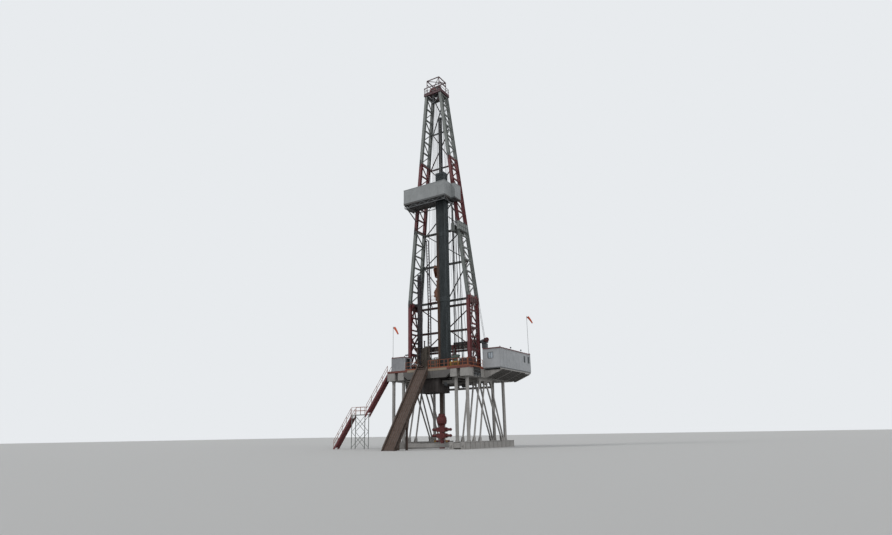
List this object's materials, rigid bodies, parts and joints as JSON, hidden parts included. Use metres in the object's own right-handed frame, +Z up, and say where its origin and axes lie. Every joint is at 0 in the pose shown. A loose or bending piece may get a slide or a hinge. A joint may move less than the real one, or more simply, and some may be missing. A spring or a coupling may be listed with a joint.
{
  "type": "oil drilling rig, 1:10 scale model",
  "caption": "1:10 scale model of a land oil drilling rig: tapered open-front mast with crown, racking board and pipe, raised floor on columns, doghouse, ramp, stairs and a running hoist.",
  "frame": {"origin": "well centre at ground level, on the underside of the wellhead stack's lowest flange", "axes": "+Z up along the well line and the mast, -Y towards the pipe ramp (front), +X towards the doghouse"},
  "size_m": [2.6719, 2.1836, 5.77],
  "materials": {
    "red_paint": "satin, weathered",
    "white_paint": "satin, weathered",
    "grey_paint": "matt",
    "brown_paint": "worn, rust showing",
    "yellow_paint": "satin",
    "orange_paint": "satin",
    "green_paint": "satin",
    "pipe_steel": "dark, oily",
    "machined_steel": "greasy",
    "wire_rope": "greased",
    "sock_fabric": "faded"
  },
  "bodies": {
    "rig": {"base_beams": "white_paint", "base_spreaders": "white_paint", "columns": "white_paint", "side_braces": "white_paint", "floor_girders": "white_paint", "floor_cross_beams": "white_paint", "setback_beams": "grey_paint", "floor_deck": "red_paint", "rotary_table": "machined_steel", "blowout_preventer": "red_paint", "bell_nipple": "brown_paint", "mast_feet": "red_paint", "mast_left_1": "red_paint", "mast_left_2": "white_paint", "mast_left_3": "red_paint", "mast_left_4": "white_paint", "mast_right_1": "red_paint", "mast_right_2": "white_paint", "mast_right_3": "red_paint", "mast_right_4": "white_paint", "mast_rear_1": "red_paint", "mast_rear_2": "white_paint", "mast_rear_3": "red_paint", "mast_rear_4": "white_paint", "crown_frame": "red_paint", "crown_sheaves": "machined_steel", "crown_rails": "red_paint", "guide_rail": "machined_steel", "racking_board": "grey_paint", "wind_walls": "white_paint", "drill_pipe_stands": "pipe_steel", "drilling_lines": "wire_rope", "pipe_ramp": "brown_paint", "stair_flights": "red_paint", "stair_landing": "white_paint", "floor_handrails": "orange_paint", "doghouse_walls": "white_paint", "doghouse_floor": "grey_paint", "doghouse_roof": "red_paint", "doghouse_brackets": "white_paint", "tool_house_walls": "white_paint", "tool_house_roof": "red_paint", "drawworks": "green_paint", "mast_ladder": "red_paint", "ladder_platform": "grey_paint", "service_trunk": "grey_paint", "standpipes": "red_paint", "power_unit": "yellow_paint", "hoist_post": "grey_paint", "windsock_poles": "white_paint"},
    "hoisting_block": {"travelling_block": "yellow_paint", "top_drive": "orange_paint"},
    "windsock_left": {"windsock_left": "sock_fabric"},
    "windsock_right": {"windsock_right": "sock_fabric"}
  },
  "joints": [
    {"name": "block_travel", "type": "slide", "parent": "rig", "child": "hoisting_block", "axis": [0, 0, 1], "range_m": [-0.75, 2.35], "deforming": ["drilling_lines"]},
    {"name": "windsock_left_swivel", "type": "hinge", "parent": "rig", "child": "windsock_left", "pos_m": [-0.578, -0.364, 1.684], "axis": [0, 0, 1], "continuous": true},
    {"name": "windsock_right_swivel", "type": "hinge", "parent": "rig", "child": "windsock_right", "pos_m": [0.9183, 1.011, 1.881], "axis": [0, 0, 1], "continuous": true}
  ]
}
